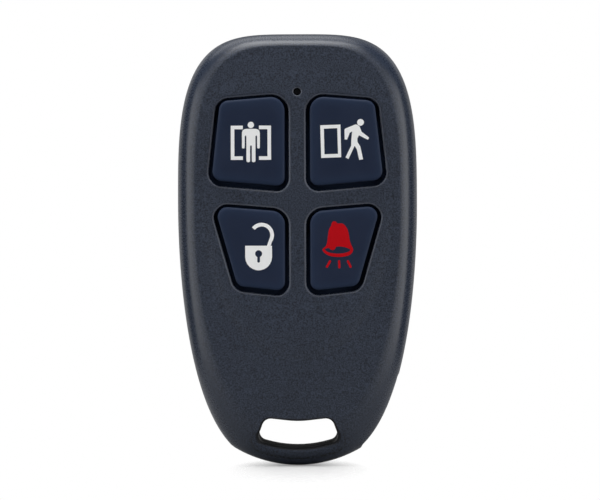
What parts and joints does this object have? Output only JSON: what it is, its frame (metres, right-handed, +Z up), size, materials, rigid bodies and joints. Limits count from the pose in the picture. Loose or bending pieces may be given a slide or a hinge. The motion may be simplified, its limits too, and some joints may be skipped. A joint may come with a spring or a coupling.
{
  "type": "alarm key fob",
  "caption": "Egg-shaped alarm remote key fob: two snapped shells with a ring slot, push keys with pictograms, a status light, a circuit board and a coin cell.",
  "frame": {"origin": "under the tip of the ring loop, at the middle of the fob's width and depth", "axes": "+Z up from the loop to the light end, -Y out of the key face, +X to the right as the keys are read"},
  "size_m": [0.0358, 0.0128, 0.0645],
  "materials": {
    "shell": "fine spark-eroded texture on the face, satin on the rim",
    "shell_back": "fine spark-eroded texture",
    "key": "smooth satin with a printed pictogram",
    "light_pipe": "clear moulded acrylic",
    "board": "green solder mask",
    "switch_base": "moulded black",
    "steel": "stamped spring steel",
    "plunger": "moulded cream",
    "led": "clear resin",
    "cell": "nickel-plated steel, fine grain",
    "contact": "stamped brass",
    "chip": "moulded epoxy",
    "tin": "tinned",
    "capacitor": "fired ceramic",
    "resistor": "glazed ceramic",
    "copper": "etched copper"
  },
  "bodies": {
    "case": {"front_shell": "shell", "rear_shell": "shell_back", "light_pipe": "light_pipe", "circuit_board": "board", "stay_switch": "switch_base", "away_switch": "switch_base", "disarm_switch": "switch_base", "panic_switch": "switch_base", "switch_covers": "steel", "status_led": "led", "coin_cell": "cell", "cell_clip": "steel", "cell_contact": "contact", "control_chip": "chip", "chip_leads": "tin", "crystal_can": "tin", "chip_capacitors": "capacitor", "chip_resistors": "resistor", "loop_antenna": "copper"},
    "stay_button": {"stay_key": "key", "stay_plunger": "plunger"},
    "away_button": {"away_key": "key", "away_plunger": "plunger"},
    "disarm_button": {"disarm_key": "key", "disarm_plunger": "plunger"},
    "panic_button": {"panic_key": "key", "panic_plunger": "plunger"}
  },
  "joints": [
    {"name": "stay_press", "type": "slide", "parent": "case", "child": "stay_button", "axis": [0, 1, 0], "range_m": [0, 0.0005], "stiffness_N_per_m": 2000, "springref_m": -0.0004},
    {"name": "away_press", "type": "slide", "parent": "case", "child": "away_button", "axis": [0, 1, 0], "range_m": [0, 0.0005], "stiffness_N_per_m": 2000, "springref_m": -0.0004},
    {"name": "disarm_press", "type": "slide", "parent": "case", "child": "disarm_button", "axis": [0, 1, 0], "range_m": [0, 0.0005], "stiffness_N_per_m": 2000, "springref_m": -0.0004},
    {"name": "panic_press", "type": "slide", "parent": "case", "child": "panic_button", "axis": [0, 1, 0], "range_m": [0, 0.0005], "stiffness_N_per_m": 2000, "springref_m": -0.0004}
  ]
}
